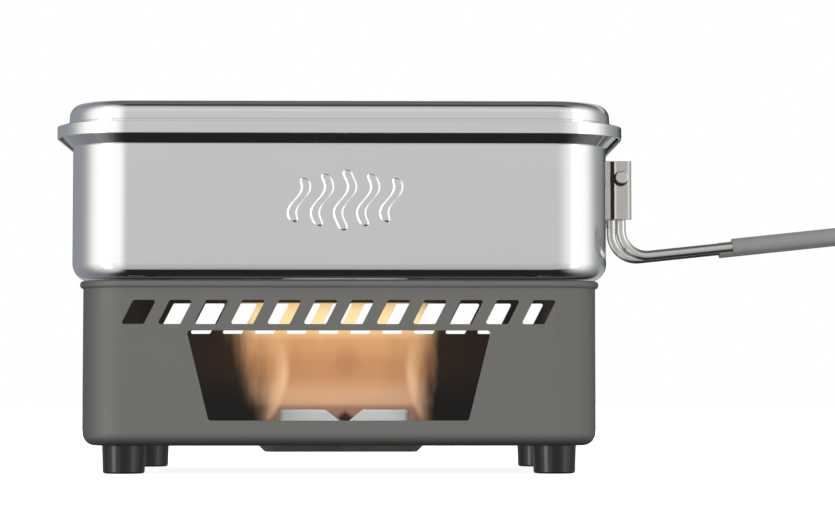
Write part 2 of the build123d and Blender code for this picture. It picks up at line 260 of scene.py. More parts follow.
# ---------------------------------------------------------------- node graphs
class Graph:
    """Short calls that build one node tree."""

    def __init__(self, tree):
        self.tree = tree
        tree.nodes.clear()

    def node(self, kind, **settings):
        made = self.tree.nodes.new("ShaderNode" + kind)
        for name, value in settings.items():
            setattr(made, name, value)
        return made

    def feed(self, socket, value):
        """Sets a socket to a number or colour, or links another node's output to it."""
        if isinstance(value, bpy.types.NodeSocket):
            self.tree.links.new(value, socket)
        elif isinstance(value, (tuple, list)) and len(value) == 3 and len(socket.default_value) == 4:
            socket.default_value = (*value, 1.0)
        else:
            socket.default_value = value

    def math(self, operation, *values):
        made = self.node("Math", operation=operation)
        for socket, value in zip(made.inputs, values):
            self.feed(socket, value)
        return made.outputs[0]

    def smooth(self, value, start, end, low=0.0, high=1.0):
        """A smooth step from low to high as value goes from start to end."""
        made = self.node("MapRange", interpolation_type="SMOOTHSTEP")
        for name, number in (
            ("Value", value),
            ("From Min", start),
            ("From Max", end),
            ("To Min", low),
            ("To Max", high),
        ):
            self.feed(made.inputs[name], number)
        return made.outputs[0]

    def curve(self, value, start, end, stops):
        """A grey ramp read as a number: stops are (place from start to end, level up to 2)."""
        place = self.node("MapRange")
        self.feed(place.inputs["Value"], value)
        self.feed(place.inputs["From Min"], start)
        self.feed(place.inputs["From Max"], end)
        ramp = self.node("ValToRGB")
        elements = ramp.color_ramp.elements
        while len(elements) < len(stops):
            elements.new(0.5)
        for element, (where, level) in zip(elements, stops):
            element.position = (where - start) / (end - start)
            element.color = (level / 2, level / 2, level / 2, 1)
        self.feed(ramp.inputs[0], place.outputs[0])
        return self.math("MULTIPLY", ramp.outputs[0], 2.0)

    def mix(self, amount, first, second):
        """A colour that goes from first to second."""
        made = self.node("Mix", data_type="RGBA")
        for socket, value in zip(COLOUR_SOCKETS, (amount, first, second)):
            self.feed(made.inputs[socket], value)
        return made.outputs[2]

    def rounded(self, first, second):
        """Distance outside a quadrant's corner, negative inside it, from two distances beyond its sides."""
        out_first = self.math("MAXIMUM", first, 0.0)
        out_second = self.math("MAXIMUM", second, 0.0)
        squares = self.math(
            "ADD", self.math("POWER", out_first, 2.0), self.math("POWER", out_second, 2.0)
        )
        within = self.math("MINIMUM", self.math("MAXIMUM", first, second), 0.0)
        return self.math("ADD", self.math("SQRT", squares), within)

    def place(self, stretch=(1, 1, 1)):
        """The piece's own coordinates in metres, stretched along the axes."""
        source = self.node("TexCoord")
        mapping = self.node("Mapping")
        self.feed(mapping.inputs["Vector"], source.outputs["Object"])
        self.feed(mapping.inputs["Scale"], stretch)
        return mapping.outputs[0]

    def noise(self, vector, size, detail=3.0, roughness=0.5):
        """Noise between 0 and 1 whose lumps are about one size, in metres, across."""
        made = self.node("TexNoise")
        self.feed(made.inputs["Vector"], vector)
        self.feed(made.inputs["Scale"], 1.0 / size)
        self.feed(made.inputs["Detail"], detail)
        self.feed(made.inputs["Roughness"], roughness)
        return made.outputs[0]

    def bump(self, height, depth, strength=1.0, normal=None):
        """A surface normal from a height between 0 and 1 that stands for a depth in metres."""
        made = self.node("Bump")
        self.feed(made.inputs["Height"], height)
        self.feed(made.inputs["Distance"], depth)
        self.feed(made.inputs["Strength"], strength)
        if normal is not None:
            self.feed(made.inputs["Normal"], normal)
        return made.outputs[0]


def finish_of(name, build):
    """A material whose graph is filled in by build(graph, shader)."""
    material = bpy.data.materials.new(name)
    material.use_nodes = True
    graph = Graph(material.node_tree)
    shader = graph.node("BsdfPrincipled")
    output = graph.node("OutputMaterial")
    graph.feed(output.inputs["Surface"], shader.outputs[0])
    build(graph, shader)
    return material


# ---------------------------------------------------------------- camera and studio
def make_camera():
    """A long lens near the ground, in front of the stove and aimed slightly up."""
    data = bpy.data.cameras.new("camera")
    data.sensor_width = CAMERA_SENSOR
    data.lens = CAMERA_LENS
    data.clip_start = CAMERA_NEAREST
    camera = bpy.data.objects.new("camera", data)
    front_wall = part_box("stove_body")[0].y + STOVE_RIM_OVERHANG
    camera.location = (CAMERA_SIDE, front_wall - CAMERA_REACH, CAMERA_HEIGHT)
    camera.rotation_euler = (radians(90 + CAMERA_TILT), 0, radians(CAMERA_TURN))
    bpy.context.scene.collection.objects.link(camera)
    bpy.context.scene.camera = camera


def room_light(graph, x, y, z):
    """The room's brightness in the direction (x, y, z)."""
    ahead = graph.math("MULTIPLY", y, -1.0)
    turn = graph.math("ARCTAN2", z, ahead)
    degrees_round = graph.math("MULTIPLY", turn, 180 / pi)
    middle = graph.curve(degrees_round, -180, 180, ROOM_ROUND)
    side = graph.math("MAXIMUM", graph.smooth(x, *ROOM_LEFT), graph.smooth(x, *ROOM_RIGHT))
    depth = graph.math("SUBTRACT", y, graph.smooth(x, *ROOM_FADE_TURN, 0.0, ROOM_FADE_SHIFT))
    walls = graph.math(
        "MULTIPLY", graph.curve(z, -1, 1, ROOM_SIDES), graph.curve(depth, -1, 1, ROOM_FADE)
    )
    level = graph.node("Mix", data_type="FLOAT")
    for socket, value in zip(NUMBER_SOCKETS, (side, middle, walls)):
        graph.feed(level.inputs[socket], value)
    lit = level.outputs[0]
    across = graph.math("ARCTAN2", x, ahead)
    low_down = graph.smooth(graph.math("ABSOLUTE", z), *SOFT_BOX_TOP)
    for direction, strength in SOFT_BOXES:
        apart = graph.math("ABSOLUTE", graph.math("SUBTRACT", across, radians(direction)))
        box = graph.math("MULTIPLY", graph.smooth(apart, *SOFT_BOX_EDGE), low_down)
        lit = graph.math("ADD", lit, graph.math("MULTIPLY", box, strength))
    return lit


def room_tint(graph, x, y):
    """The room's colour in the direction (x, y): white, with faintly tinted back corners."""
    behind = graph.smooth(y, *TINT_BACK)
    sideways = graph.smooth(graph.math("ABSOLUTE", x), *TINT_SIDE)
    away = graph.math("MULTIPLY", behind, sideways)
    tint = graph.mix(graph.smooth(x, *TINT_TURN), BACK_LEFT_TINT, BACK_RIGHT_TINT)
    return graph.mix(away, WHITE, tint)


def studio_world():
    """The room by direction for the light and the gloss, and plain white for the camera."""
    world = bpy.data.worlds.new("studio")
    bpy.context.scene.world = world
    world.use_nodes = True
    graph = Graph(world.node_tree)
    split = graph.node("SeparateXYZ")
    graph.feed(split.inputs[0], graph.node("TexCoord").outputs["Generated"])
    x, y, z = split.outputs
    room = graph.node("Background")
    graph.feed(room.inputs["Color"], room_tint(graph, x, y))
    graph.feed(room.inputs["Strength"], room_light(graph, x, y, z))
    white = graph.node("Background")
    graph.feed(white.inputs["Color"], WHITE)
    seen = graph.node("MixShader")
    graph.feed(seen.inputs[0], graph.node("LightPath").outputs["Is Camera Ray"])
    graph.feed(seen.inputs[1], room.outputs[0])
    graph.feed(seen.inputs[2], white.outputs[0])
    graph.feed(graph.node("OutputWorld").inputs["Surface"], seen.outputs[0])


def floor_paint(graph, shader):
    """A pale floor that nearly glows, so that only soft contact shadows show on it."""
    graph.feed(shader.inputs["Base Color"], FLOOR_WHITE)
    graph.feed(shader.inputs["Roughness"], 0.9)
    graph.feed(shader.inputs["Specular IOR Level"], 0.1)
    graph.feed(shader.inputs["Emission Color"], WHITE)
    graph.feed(shader.inputs["Emission Strength"], FLOOR_GLOW)


def make_floor():
    """A wide plain floor."""
    mesh = bpy.data.meshes.new("floor")
    corners = ((-1, -1), (1, -1), (1, 1), (-1, 1))
    mesh.from_pydata([(x * FLOOR_REACH, y * FLOOR_REACH, 0) for x, y in corners], [], [(0, 1, 2, 3)])
    floor = bpy.data.objects.new("floor", mesh)
    bpy.context.scene.collection.objects.link(floor)
    floor.visible_glossy = False
    floor.visible_diffuse = False
    mesh.materials.append(finish_of("pale_floor", floor_paint))


def lamp(name, energy, colour, place, aim, width, height, spread=180):
    """A soft rectangular lamp that lights the scene and is never seen itself."""
    data = bpy.data.lights.new(name, "AREA")
    data.energy = energy
    data.color = colour
    data.shape = "RECTANGLE"
    data.size = width
    data.size_y = height
    data.spread = radians(spread)
    made = bpy.data.objects.new(name, data)
    made.location = place
    made.rotation_euler = (Vector(aim) - Vector(place)).to_track_quat("-Z", "Y").to_euler()
    made.visible_camera = False
    made.visible_glossy = False
    bpy.context.scene.collection.objects.link(made)


def light_scene():
    """A soft lamp behind, and the burning tablet's warm light on the chamber's walls."""
    lamp(
        "back_soft",
        energy=9.0,
        colour=WHITE,
        place=(0.15, 1.15, 0.35),
        aim=(0.0, 0.0, 0.06),
        width=1.2,
        height=0.5,
    )
    low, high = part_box("fuel_tablet")
    middle = (low + high) / 2
    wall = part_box("stove_body")[1].y
    lamp(
        "glow_rear",
        energy=0.018,
        colour=FLAME,
        place=(-4 * MM, middle.y + 12 * MM, 38 * MM),
        aim=(-4 * MM, wall, 36 * MM),
        width=92 * MM,
        height=30 * MM,
        spread=110,
    )
    lamp(
        "glow_top",
        energy=0.002,
        colour=FLAME_TIP,
        place=(-2 * MM, wall - 10 * MM, 54 * MM),
        aim=(-2 * MM, wall, 54 * MM),
        width=84 * MM,
        height=5 * MM,
        spread=140,
    )
    lamp(
        "fill_fuel",
        energy=0.0012,
        colour=WHITE,
        place=(middle.x, low.y - 22 * MM, 34 * MM),
        aim=(middle.x, low.y, 15 * MM),
        width=44 * MM,
        height=8 * MM,
        spread=60,
    )


# ---------------------------------------------------------------- materials
def polished_steel(graph, shader):
    """Drawn and polished stainless sheet with faint hairlines and smears."""
    dull = (0.835, 0.835, 0.83)
    bright = (0.865, 0.862, 0.855)
    near = graph.place()
    smear = graph.noise(near, 45 * MM, 3.0)
    hair = graph.noise(graph.place((1, 1, 14)), 3.0 * MM, 4.0, 0.7)
    fine = graph.noise(near, 0.35 * MM, 2.0)
    smeared = graph.smooth(smear, 0.35, 0.7, 0.045, 0.085)
    graph.feed(shader.inputs["Base Color"], graph.mix(smear, dull, bright))
    graph.feed(shader.inputs["Metallic"], 1.0)
    graph.feed(shader.inputs["Roughness"], graph.math("ADD", smeared, graph.math("MULTIPLY", hair, 0.02)))
    wave = graph.bump(graph.noise(near, 30 * MM, 1.0), 0.02 * MM, 0.6)
    graph.feed(shader.inputs["Normal"], graph.bump(fine, 0.0006 * MM, 0.4, wave))


def above_skin(graph, x, y, z, low, high):
    """Distance outside the stove's rounded outer surface; negative in the sheet and in the chamber."""
    wall_x = high.x - STOVE_RIM_OVERHANG
    wall_y = high.y - STOVE_RIM_OVERHANG
    beyond_x = graph.math("SUBTRACT", graph.math("ABSOLUTE", x), wall_x - STOVE_CORNER)
    beyond_y = graph.math("SUBTRACT", graph.math("ABSOLUTE", y), wall_y - STOVE_CORNER)
    outward = graph.math("SUBTRACT", graph.rounded(beyond_x, beyond_y), STOVE_CORNER - STOVE_EDGE)
    downward = graph.math("SUBTRACT", low.z + STOVE_EDGE, z)
    return graph.math("SUBTRACT", graph.rounded(outward, downward), STOVE_EDGE)


def enamel(graph, x, z, low, high, cloud, grain):
    """The stove's grey outside: cloudy and speckled, with painted shade at its lower edge, ends and rim."""
    dark = (0.154, 0.152, 0.143)
    light = (0.169, 0.167, 0.158)
    speck = (0.22, 0.217, 0.205)
    enamel_shade_colour = (0.004, 0.004, 0.004)
    wall_x = high.x - STOVE_RIM_OVERHANG
    coat = graph.mix(cloud, dark, light)
    coat = graph.mix(graph.smooth(grain, 0.66, 0.8, 0.0, 0.25), coat, speck)
    # Painted shade: the lower bend, both ends (the left end most) and the rim's top under the pot are
    # darkened.
    enamel_painted_shade = graph.smooth(z, low.z + 4.7 * MM, low.z + 0.1 * MM, 0.0, 0.75)
    for place, start, end, most in (
        (x, 10 * MM - wall_x, -wall_x, 0.45),
        (x, wall_x - 4 * MM, wall_x, 0.3),
        (z, high.z - 0.5 * MM, high.z - 0.1 * MM, 0.92),
    ):
        enamel_painted_shade = graph.math("MAXIMUM", enamel_painted_shade, graph.smooth(place, start, end, 0.0, most))
    return graph.mix(enamel_painted_shade, coat, enamel_shade_colour)


def heat_tint_and_glow_part(graph, x, z, streak):
    """Where the flame has tinted the chamber's steel and where its light is painted, from 0 to 1, less a
    painted shadow behind the tablet's notch.
    """
    warp = graph.math("MULTIPLY", graph.math("SUBTRACT", streak, 0.5), HEAT_GLOW_WARP)
    across = graph.math("ADD", graph.math("ADD", x, HEAT_GLOW_SHIFT), warp)
    left_reach = graph.math("ADD", graph.math("MULTIPLY", z, HEAT_GLOW_LEFT_SLOPE), HEAT_GLOW_LEFT)
    right_reach = graph.math("ADD", graph.math("MULTIPLY", z, HEAT_GLOW_RIGHT_SLOPE), HEAT_GLOW_RIGHT)
    from_left = graph.smooth(graph.math("ADD", across, left_reach), *HEAT_GLOW_LEFT_EDGE)
    from_right = graph.smooth(graph.math("SUBTRACT", right_reach, across), *HEAT_GLOW_RIGHT_EDGE)
    heat_and_glow = graph.math("MULTIPLY", from_left, from_right)
    heat_and_glow = graph.math("MULTIPLY", heat_and_glow, graph.smooth(z, *HEAT_GLOW_TOP_EDGE))
    # Painted shadow of the tablet's notch, cut out of the heat-tinted and lit part.
    notch_x = graph.math("ABSOLUTE", graph.math("SUBTRACT", x, NOTCH_X))
    notch_z = graph.math("MULTIPLY", graph.math("SUBTRACT", z, NOTCH_Z), NOTCH_STEEPNESS)
    shade = graph.smooth(graph.math("ADD", notch_x, notch_z), *NOTCH_EDGE, 0.0, 0.95)
    return graph.math("MULTIPLY", heat_and_glow, graph.math("SUBTRACT", 1.0, shade))


def tongue_glow(graph, x, z):
    """Painted flame light: the bright, bowed tongues at the two ends of the heat-tinted and lit part."""
    tongues = 0.0
    for middle_x, middle_z, bow, side in TONGUES:
        off_z = graph.math("SUBTRACT", z, middle_z)
        bent = graph.math("MULTIPLY", graph.math("MULTIPLY", off_z, off_z), bow)
        centre = graph.math("ADD", bent, middle_x)
        off_x = graph.math("MULTIPLY", graph.math("SUBTRACT", x, centre), side)
        inner = graph.smooth(off_x, *TONGUE_INNER_EDGE)
        outer = graph.smooth(off_x, *TONGUE_OUTER_EDGE)
        tongues = graph.math("MAXIMUM", tongues, graph.math("MULTIPLY", inner, outer))
    return graph.math("MULTIPLY", tongues, graph.smooth(z, *TONGUE_RISE, 0.1, 0.9))


def swirl_mark(graph, x, z, cloud):
    """A darker cloud in the middle of the heat-tinted and lit part, and a dim band across it."""
    swirl_x = graph.math("ABSOLUTE", graph.math("SUBTRACT", x, SWIRL_X))
    swirl_z = graph.math("ABSOLUTE", graph.math("SUBTRACT", z, SWIRL_Z))
    swirl = graph.math("ADD", swirl_x, graph.math("MULTIPLY", swirl_z, SWIRL_FLATNESS))
    warp = graph.math("MULTIPLY", graph.math("SUBTRACT", cloud, 0.5), SWIRL_WARP)
    swirl = graph.smooth(graph.math("ADD", swirl, warp), *SWIRL_EDGE, 0.0, 0.7)
    off_dim = graph.math("ABSOLUTE", graph.math("SUBTRACT", z, DIM_Z))
    return graph.math("MAXIMUM", swirl, graph.smooth(off_dim, *DIM_EDGE, 0.0, 0.45))


def chamber_steel(graph, x, z, cloud):
    """The stove's bare inside: sooty and darker towards the bottom, with a heat-tinted part that also
    carries painted flame light, and painted shade just above the tablet.
    """
    amber = (0.447, 0.338, 0.210)
    straw = (0.654, 0.537, 0.364)
    low_tint = (0.60, 0.56, 0.51)
    swirl_tint = (0.365, 0.254, 0.190)
    top_tint = (0.74, 0.745, 0.54)
    # Painted shade on the rear wall just above the tablet.
    above_tablet_shade = (0.22, 0.14, 0.12)
    tongue_glow_tint = (0.76, 0.75, 0.68)
    black_soot = (0.008, 0.006, 0.004)
    brown_soot = (0.026, 0.016, 0.009)
    low_dark = (0.002, 0.002, 0.002)
    streak = graph.noise(graph.place((1, 1, 0.22)), 8 * MM, 3.0, 0.5)
    # Heat tint and painted flame light: bright tongues, streaks and a lighter low band where the flame
    # lights the wall.
    hot_and_lit = graph.mix(streak, amber, straw)
    for amount, tint in (
        (graph.smooth(z, *LOW_TINT_EDGE), low_tint),
        (swirl_mark(graph, x, z, cloud), swirl_tint),
        (graph.smooth(z, *TOP_TINT_EDGE), top_tint),
        (graph.smooth(z, *ABOVE_TABLET_SHADE_EDGE, 0.0, 0.7), above_tablet_shade),
        (tongue_glow(graph, x, z), tongue_glow_tint),
    ):
        hot_and_lit = graph.mix(amount, hot_and_lit, tint)
    soot = graph.mix(cloud, black_soot, brown_soot)
    # Darker towards the bottom of the chamber.
    soot = graph.mix(graph.smooth(z, *LOW_DARK_EDGE), soot, low_dark)
    return graph.mix(heat_tint_and_glow_part(graph, x, z, streak), soot, hot_and_lit)


def stove_coating(graph, shader):
    """Fine-grained grey enamel outside, with painted shade; bare, sooty and heat-tinted steel inside the
    chamber, with painted flame light.
    """
    low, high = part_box("stove_body")
    near = graph.place()
    split = graph.node("SeparateXYZ")
    graph.feed(split.inputs[0], near)
    x, y, z = split.outputs
    grain = graph.noise(near, 0.28 * MM, 3.0, 0.6)
    cloud = graph.noise(near, 28 * MM, 3.0)
    coat = enamel(graph, x, z, low, high, cloud, grain)
    bare = chamber_steel(graph, x, z, cloud)
    inside = graph.smooth(above_skin(graph, x, y, z, low, high), *ENAMEL_EDGE)
    graph.feed(shader.inputs["Base Color"], graph.mix(inside, coat, bare))
    graph.feed(shader.inputs["Roughness"], graph.smooth(cloud, 0.3, 0.7, 0.5, 0.6))
    graph.feed(shader.inputs["Specular IOR Level"], 0.35)
    graph.feed(shader.inputs["Normal"], graph.bump(grain, 0.02 * MM, 0.35))


def tray_metal(graph, shader):
    """Thin pressed steel, darkened by heat, with burnt spots."""
    dark = (0.145, 0.143, 0.136)
    light = (0.205, 0.202, 0.193)
    burnt = (0.05, 0.042, 0.036)
    near = graph.place()
    cloud = graph.noise(near, 14 * MM, 4.0, 0.6)
    spots = graph.noise(near, 2.2 * MM, 3.0, 0.6)
    base = graph.mix(cloud, dark, light)
    base = graph.mix(graph.smooth(spots, 0.62, 0.74), base, burnt)
    graph.feed(shader.inputs["Base Color"], base)
    graph.feed(shader.inputs["Metallic"], 0.55)
    graph.feed(shader.inputs["Roughness"], graph.smooth(cloud, 0.3, 0.7, 0.38, 0.55))
    graph.feed(shader.inputs["Normal"], graph.bump(graph.noise(near, 0.3 * MM), 0.012 * MM, 0.4))


def solid_fuel(graph, shader):
    """A pressed, waxy powder block with a granular face."""
    dark = (0.66, 0.68, 0.675)
    light = (0.76, 0.775, 0.765)
    powder = (0.84, 0.85, 0.84)
    near = graph.place()
    grain = graph.noise(near, 0.55 * MM, 4.0, 0.65)
    cloud = graph.noise(near, 9 * MM, 3.0)
    base = graph.mix(cloud, dark, light)
    base = graph.mix(graph.smooth(grain, 0.6, 0.75, 0.0, 0.6), base, powder)
    graph.feed(shader.inputs["Base Color"], base)
    graph.feed(shader.inputs["Roughness"], graph.smooth(grain, 0.3, 0.7, 0.55, 0.75))
    graph.feed(shader.inputs["Subsurface Weight"], 0.08)
    graph.feed(shader.inputs["Subsurface Radius"], (1.2 * MM, 1.2 * MM, 1.0 * MM))
    graph.feed(shader.inputs["Subsurface Scale"], 1.0)
    graph.feed(shader.inputs["Normal"], graph.bump(grain, 0.12 * MM, 0.6))


def foot_rubber(graph, shader):
    """Satin black moulded rubber with faint moulding rings."""
    dark = (0.002, 0.002, 0.0023)
    light = (0.004, 0.004, 0.0043)
    near = graph.place()
    grain = graph.noise(near, 0.25 * MM, 3.0, 0.6)
    rings = graph.noise(graph.place((0.02, 0.02, 1)), 0.9 * MM, 2.0)
    graph.feed(shader.inputs["Base Color"], graph.mix(graph.noise(near, 5 * MM), dark, light))
    graph.feed(shader.inputs["Roughness"], graph.smooth(grain, 0.3, 0.7, 0.16, 0.22))
    graph.feed(shader.inputs["Specular IOR Level"], 0.5)
    graph.feed(shader.inputs["Normal"], graph.bump(graph.math("ADD", grain, rings), 0.008 * MM, 0.3))


def fastener_steel(graph, shader):
    """Zinc-plated steel."""
    dark = (0.44, 0.44, 0.43)
    light = (0.58, 0.575, 0.55)
    near = graph.place()
    cloud = graph.noise(near, 1.6 * MM, 3.0, 0.6)
    graph.feed(shader.inputs["Base Color"], graph.mix(cloud, dark, light))
    graph.feed(shader.inputs["Metallic"], 1.0)
    graph.feed(shader.inputs["Roughness"], graph.smooth(cloud, 0.3, 0.7, 0.26, 0.42))
    graph.feed(shader.inputs["Normal"], graph.bump(graph.noise(near, 0.2 * MM), 0.006 * MM, 0.4))


def ear_light_and_shade(graph, x, y, z):
    """The bracket's painted shade and highlights from 0 to 1: painted shade in the groove, a painted shadow
    round the pin and at the ear's end, and painted highlights on two edges.
    """
    # Painted shade in the groove.
    off_groove = graph.math("ABSOLUTE", graph.math("SUBTRACT", x, GROOVE_MIDDLE))
    in_groove = graph.math(
        "MULTIPLY",
        graph.smooth(off_groove, GROOVE_HALF + 0.05 * MM, GROOVE_HALF - 0.02 * MM),
        graph.smooth(graph.math("ABSOLUTE", y), EAR_FACE - 0.15 * MM, EAR_FACE - 0.4 * MM),
    )
    # Painted shadow round the pin, shifted to its lower left.
    from_x = graph.math("SUBTRACT", x, PIN_X - PIN_SHADOW_SHIFT)
    from_z = graph.math("SUBTRACT", z, PIN_Z - PIN_SHADOW_SHIFT)
    squares = graph.math("ADD", graph.math("POWER", from_x, 2.0), graph.math("POWER", from_z, 2.0))
    near_pin = graph.smooth(graph.math("SQRT", squares), PIN_SHADOW, PIN_SHADOW - 0.35 * MM)
    # Painted shade at the ear's end.
    at_end = graph.smooth(x, EAR_END - 0.5 * MM, EAR_END - 0.2 * MM, 0.0, 0.75)
    dark = graph.math("MAXIMUM", graph.math("MAXIMUM", in_groove, near_pin), at_end)
    # Painted highlights along the groove's side and the hem's side.
    groove_side = GROOVE_MIDDLE + GROOVE_HALF + 0.4 * MM
    hem_side = EAR_END - 0.95 * MM
    off_groove_side = graph.math("ABSOLUTE", graph.math("SUBTRACT", x, groove_side))
    off_hem_side = graph.math("ABSOLUTE", graph.math("SUBTRACT", x, hem_side))
    off_edges = graph.math("MINIMUM", off_groove_side, off_hem_side)
    return dark, graph.smooth(off_edges, 0.5 * MM, 0.15 * MM)


def bracket_steel(graph, shader):
    """Bent sheet with an upright brushed grain and a warm satin gloss, with painted shade and painted edge
    highlights on the ears.
    """
    dull = (0.60, 0.585, 0.54)
    bright = (0.68, 0.665, 0.62)
    edge_highlight_colour = (0.97, 0.96, 0.93)
    bracket_shade_colour = (0.045, 0.036, 0.026)
    near = graph.place()
    split = graph.node("SeparateXYZ")
    graph.feed(split.inputs[0], near)
    grain = graph.noise(graph.place((1, 1, 0.03)), 0.12 * MM, 3.0, 0.6)
    cloud = graph.noise(near, 5 * MM, 3.0)
    dark, painted_edge_highlight = ear_light_and_shade(graph, *split.outputs)
    # Painted highlights on the edges, then painted shade in the groove, round the pin and at the ear's end.
    steel = graph.mix(painted_edge_highlight, graph.mix(cloud, dull, bright), edge_highlight_colour)
    graph.feed(shader.inputs["Base Color"], graph.mix(dark, steel, bracket_shade_colour))
    graph.feed(shader.inputs["Metallic"], 1.0)
    graph.feed(shader.inputs["Roughness"], graph.smooth(grain, 0.3, 0.7, 0.26, 0.36))
    graph.feed(shader.inputs["Normal"], graph.bump(grain, 0.004 * MM, 0.5))


def wire_steel(graph, shader):
    """Drawn wire: satin steel with faint lines along it."""
    dull = (0.66, 0.655, 0.63)
    bright = (0.74, 0.735, 0.71)
    lines = graph.noise(graph.place((0.03, 1, 1)), 0.14 * MM, 3.0, 0.6)
    cloud = graph.noise(graph.place(), 4 * MM, 3.0)
    graph.feed(shader.inputs["Base Color"], graph.mix(cloud, dull, bright))
    graph.feed(shader.inputs["Metallic"], 1.0)
    graph.feed(shader.inputs["Roughness"], graph.smooth(lines, 0.3, 0.7, 0.22, 0.32))
    graph.feed(shader.inputs["Normal"], graph.bump(lines, 0.004 * MM, 0.4))


def sleeve_silicone(graph, shader):
    """Matte grey silicone with a powdery surface."""
    dark = (0.300, 0.302, 0.295)
    light = (0.332, 0.334, 0.326)
    near = graph.place()
    grain = graph.noise(near, 0.22 * MM, 3.0, 0.6)
    cloud = graph.noise(near, 16 * MM, 3.0)
    graph.feed(shader.inputs["Base Color"], graph.mix(cloud, dark, light))
    graph.feed(shader.inputs["Roughness"], graph.smooth(grain, 0.3, 0.7, 0.62, 0.75))
    graph.feed(shader.inputs["Specular IOR Level"], 0.3)
    graph.feed(shader.inputs["Sheen Weight"], 0.1)
    graph.feed(shader.inputs["Sheen Roughness"], 0.5)
    graph.feed(shader.inputs["Normal"], graph.bump(grain, 0.01 * MM, 0.4))


FINISHES = {
    "polished_steel": polished_steel,
    "stove_coating": stove_coating,
    "tray_metal": tray_metal,
    "fuel": solid_fuel,
    "foot_rubber": foot_rubber,
    "fastener_steel": fastener_steel,
    "bracket_steel": bracket_steel,
    "wire_steel": wire_steel,
    "sleeve_silicone": sleeve_silicone,
}


# ---------------------------------------------------------------- sheet-metal shells
def arc(centre_out, centre_z, radius, start, end, steps, facing=1):
    """Profile points on an arc, each (distance out, height, normal out, normal up)."""
    points = []
    for step in range(steps + 1):
        angle = radians(start + (end - start) * step / steps)
        points.append(
            (
                centre_out + radius * cos(angle),
                centre_z + radius * sin(angle),
                facing * cos(angle),
                facing * sin(angle),
            )
        )
    return points


def columns(half_x, half_y, dense):
    """Places round a rectangle: (x, y, normal x, normal y), with dense x places on the front."""
    around = []
    for x in dense:
        around.append((x, -half_y, 0.0, -1.0))
    for centre_x, centre_y, start in (
        (half_x, -half_y, -90),
        (half_x, half_y, 0),
        (-half_x, half_y, 90),
        (-half_x, -half_y, 180),
    ):
        for step in range(CORNER_STEPS + 1):
            angle = radians(start + 90 * step / CORNER_STEPS)
            around.append((centre_x, centre_y, cos(angle), sin(angle)))
    return around


def shell(name, half_x, half_y, corner, profile, dense=(), relief=None):
    """A closed sheet-metal shell: a profile carried round a rectangle with rounded corners."""
    around = columns(half_x - corner, half_y - corner, dense)
    count = len(around)
    places = []
    normals = []
    for out, height, normal_out, normal_up in profile:
        for x, y, turn_x, turn_y in around:
            place = Vector((x + turn_x * (corner + out), y + turn_y * (corner + out), height))
            normal = Vector((turn_x * normal_out, turn_y * normal_out, normal_up))
            if relief is not None and turn_y == -1.0 and normal_out > UPRIGHT:
                place.y -= relief(place.x, height)
                rise_x = relief(place.x + SLOPE_STEP, height) - relief(place.x - SLOPE_STEP, height)
                rise_z = relief(place.x, height + SLOPE_STEP) - relief(place.x, height - SLOPE_STEP)
                normal = Vector((-rise_x, -2 * SLOPE_STEP, -rise_z)).normalized()
            places.append(place)
            normals.append(normal)
    faces = []
    for row in range(len(profile) - 1):
        for column in range(count):
            beside = (column + 1) % count
            low = row * count
            high = low + count
            faces.append((low + column, low + beside, high + beside, high + column))
    last = (len(profile) - 1) * count
    faces.append(tuple(reversed(range(count))))
    faces.append(tuple(last + column for column in range(count)))
    mesh = bpy.data.meshes.new(name)
    mesh.from_pydata(places, [], faces)
    mesh.validate()
    mesh.shade_smooth()
    mesh.normals_split_custom_set_from_vertices(normals)
    made = bpy.data.objects.new(name, mesh)
    bpy.context.scene.collection.objects.link(made)
    return made


def motif_relief(x, z):
    """Height of the embossed motif: a row of leaning, wavy ribs with round ends."""
    highest = 0.0
    rise = z - MOTIF_Z
    if abs(rise) > MOTIF_HALF_HEIGHT + MOTIF_EDGE:
        return 0.0
    middle = (MOTIF_RIBS - 1) / 2
    for number in range(MOTIF_RIBS):
        spread = abs(number - middle) / middle
        half_height = MOTIF_HALF_HEIGHT * (1 - MOTIF_TAPER * spread)
        wave = MOTIF_WAVE * sin(2 * pi * rise / MOTIF_WAVE_LENGTH)
        centre = MOTIF_X + (number - middle) * MOTIF_PITCH + MOTIF_LEAN * rise + wave
        beyond = max(abs(rise) - (half_height - MOTIF_HALF_WIDTH), 0.0)
        apart = ((x - centre) ** 2 + beyond**2) ** 0.5
        part = min(max((MOTIF_HALF_WIDTH - apart) / MOTIF_EDGE + 0.5, 0.0), 1.0)
        highest = max(highest, part * part * (3 - 2 * part))
    return highest * MOTIF_RELIEF


def steps_between(start, end, step):
    """Evenly spaced numbers from start to end, about one step apart."""
    count = max(1, round((end - start) / step))
    return [start + (end - start) * number / count for number in range(count + 1)]


